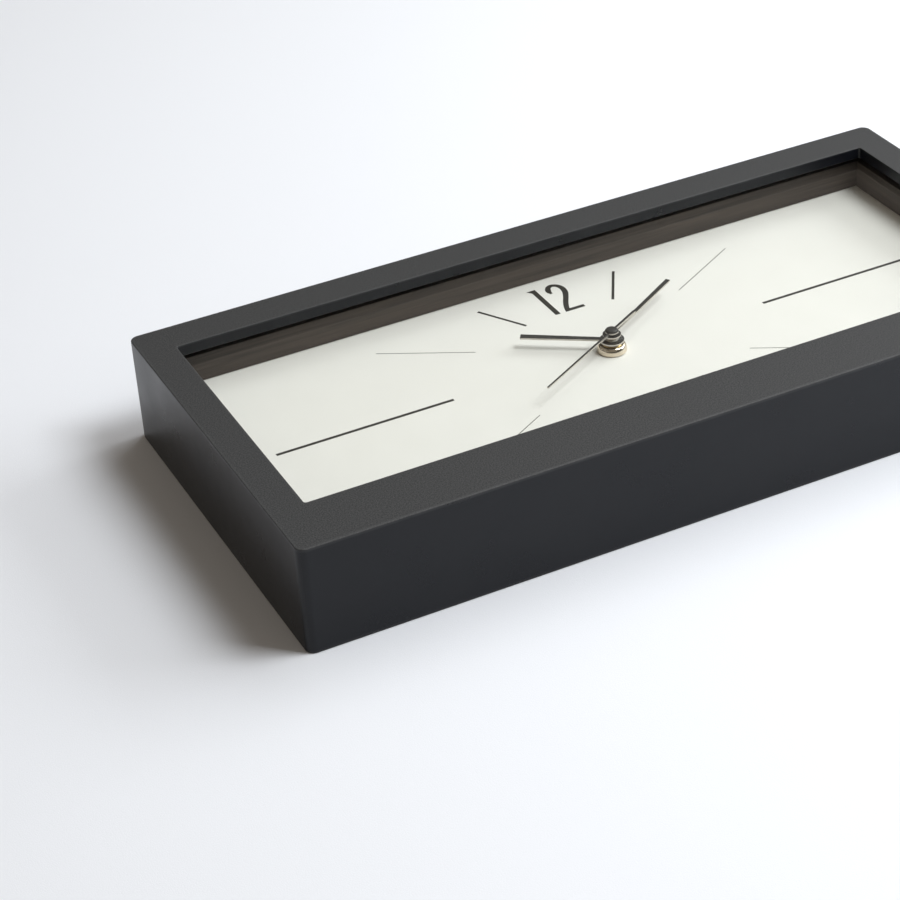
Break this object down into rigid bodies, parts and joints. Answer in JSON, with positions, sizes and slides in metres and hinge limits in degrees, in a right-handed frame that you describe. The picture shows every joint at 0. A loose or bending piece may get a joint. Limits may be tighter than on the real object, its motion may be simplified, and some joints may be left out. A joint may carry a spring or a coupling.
{
  "type": "rectangular wall clock",
  "caption": "Wide rectangular quartz wall clock in a black wooden box frame: glass front, ivory dial with printed hour lines, three hands and a geared battery movement.",
  "frame": {"origin": "middle of the frame's flat back, with the clock lying on its back", "axes": "+Z out of the dial, +Y towards twelve o'clock, +X towards three o'clock"},
  "size_m": [0.331, 0.16, 0.043],
  "materials": {
    "black_paint": "fine-grained matte black paint on wood, satin on the sides",
    "brown_stain": "dark brown-black stain, faint grain",
    "raw_wood": "planed softwood, unfinished",
    "fibreboard": "hardboard, smooth face",
    "dial_paper": "matte ivory printed card",
    "clear_glass": "clear float glass",
    "hand_enamel": "satin black enamel with bare cut edges",
    "brass": "turned, bright",
    "nickel": "warm nickel plate, polished",
    "steel": "zinc-plated steel",
    "copper_wire": "enamelled copper winding",
    "black_rubber": "matte black",
    "case_plastic": "fine spark-eroded texture",
    "wheel_plastic": "moulded acetal",
    "circuit_resin": "green solder resist",
    "battery_wrap": "printed wrap, plain"
  },
  "bodies": {
    "frame": {"rail_top": "black_paint", "rail_bottom": "black_paint", "rail_left": "black_paint", "rail_right": "black_paint", "spacer_top": "brown_stain", "spacer_bottom": "brown_stain", "spacer_left": "brown_stain", "spacer_right": "brown_stain", "hanger_batten": "raw_wood", "batten_bottom": "raw_wood", "batten_left": "raw_wood", "batten_right": "raw_wood", "dial_board": "fibreboard", "dial_card": "dial_paper", "glass_pane": "clear_glass", "centre_bush": "brass", "hand_nut": "nickel", "quartz_crystal": "nickel", "contact_positive": "nickel", "contact_negative": "nickel", "batten_screw_bottom_1": "steel", "batten_screw_bottom_2": "steel", "batten_screw_bottom_3": "steel", "batten_screw_left": "steel", "batten_screw_right": "steel", "batten_screw_top_1": "steel", "batten_screw_top_2": "steel", "hanger_screw_left": "steel", "hanger_screw_right": "steel", "sawtooth_hanger": "steel", "stator": "steel", "coil_core": "steel", "coil_winding": "copper_wire", "rubber_washer": "black_rubber", "chip_blob": "black_rubber", "movement_front_case": "case_plastic", "movement_back_cover": "case_plastic", "gear_bridge": "case_plastic", "coil_bobbin": "case_plastic", "circuit_board": "circuit_resin", "battery": "battery_wrap"},
    "second_train": {"second_wheel": "wheel_plastic", "second_hand": "hand_enamel"},
    "minute_train": {"minute_wheel": "wheel_plastic", "minute_hand": "hand_enamel"},
    "hour_train": {"hour_wheel": "wheel_plastic", "hour_hand": "hand_enamel"},
    "rotor_train": {"rotor": "steel"},
    "drive_train": {"drive_wheel": "wheel_plastic"},
    "third_train": {"third_wheel": "wheel_plastic"},
    "motion_train": {"motion_wheel": "wheel_plastic"},
    "setting_train": {"setting_pinion": "wheel_plastic", "setting_knob": "case_plastic"}
  },
  "joints": [
    {"name": "second_turn", "type": "hinge", "parent": "frame", "child": "second_train", "pos_m": [0, 0.00475, 0], "axis": [0, 0, -1], "continuous": true},
    {"name": "minute_turn", "type": "hinge", "parent": "frame", "child": "minute_train", "pos_m": [0, 0.00475, 0], "axis": [0, 0, -1], "continuous": true},
    {"name": "hour_turn", "type": "hinge", "parent": "frame", "child": "hour_train", "pos_m": [0, 0.00475, 0], "axis": [0, 0, -1], "continuous": true},
    {"name": "rotor_turn", "type": "hinge", "parent": "frame", "child": "rotor_train", "pos_m": [0.01034, 0.01709, 0], "axis": [0, 0, -1], "continuous": true},
    {"name": "drive_turn", "type": "hinge", "parent": "frame", "child": "drive_train", "pos_m": [0.00909, 0.01, 0], "axis": [0, 0, -1], "continuous": true},
    {"name": "third_turn", "type": "hinge", "parent": "frame", "child": "third_train", "pos_m": [-0.00883, 0.00985, 0], "axis": [0, 0, -1], "continuous": true},
    {"name": "motion_turn", "type": "hinge", "parent": "frame", "child": "motion_train", "pos_m": [0.00789, 0.00188, 0], "axis": [0, 0, -1], "continuous": true},
    {"name": "setting_turn", "type": "hinge", "parent": "frame", "child": "setting_train", "pos_m": [0.01579, 0.00475, 0], "axis": [0, 0, -1], "continuous": true}
  ],
  "couplings": [
    {"joint": "minute_turn", "follows": "second_turn", "ratio": 0.016667},
    {"joint": "hour_turn", "follows": "second_turn", "ratio": 0.0013889},
    {"joint": "rotor_turn", "follows": "second_turn", "ratio": 30},
    {"joint": "drive_turn", "follows": "second_turn", "ratio": -6},
    {"joint": "third_turn", "follows": "second_turn", "ratio": -0.13333},
    {"joint": "motion_turn", "follows": "second_turn", "ratio": -0.0055556},
    {"joint": "setting_turn", "follows": "second_turn", "ratio": 0.016667}
  ]
}
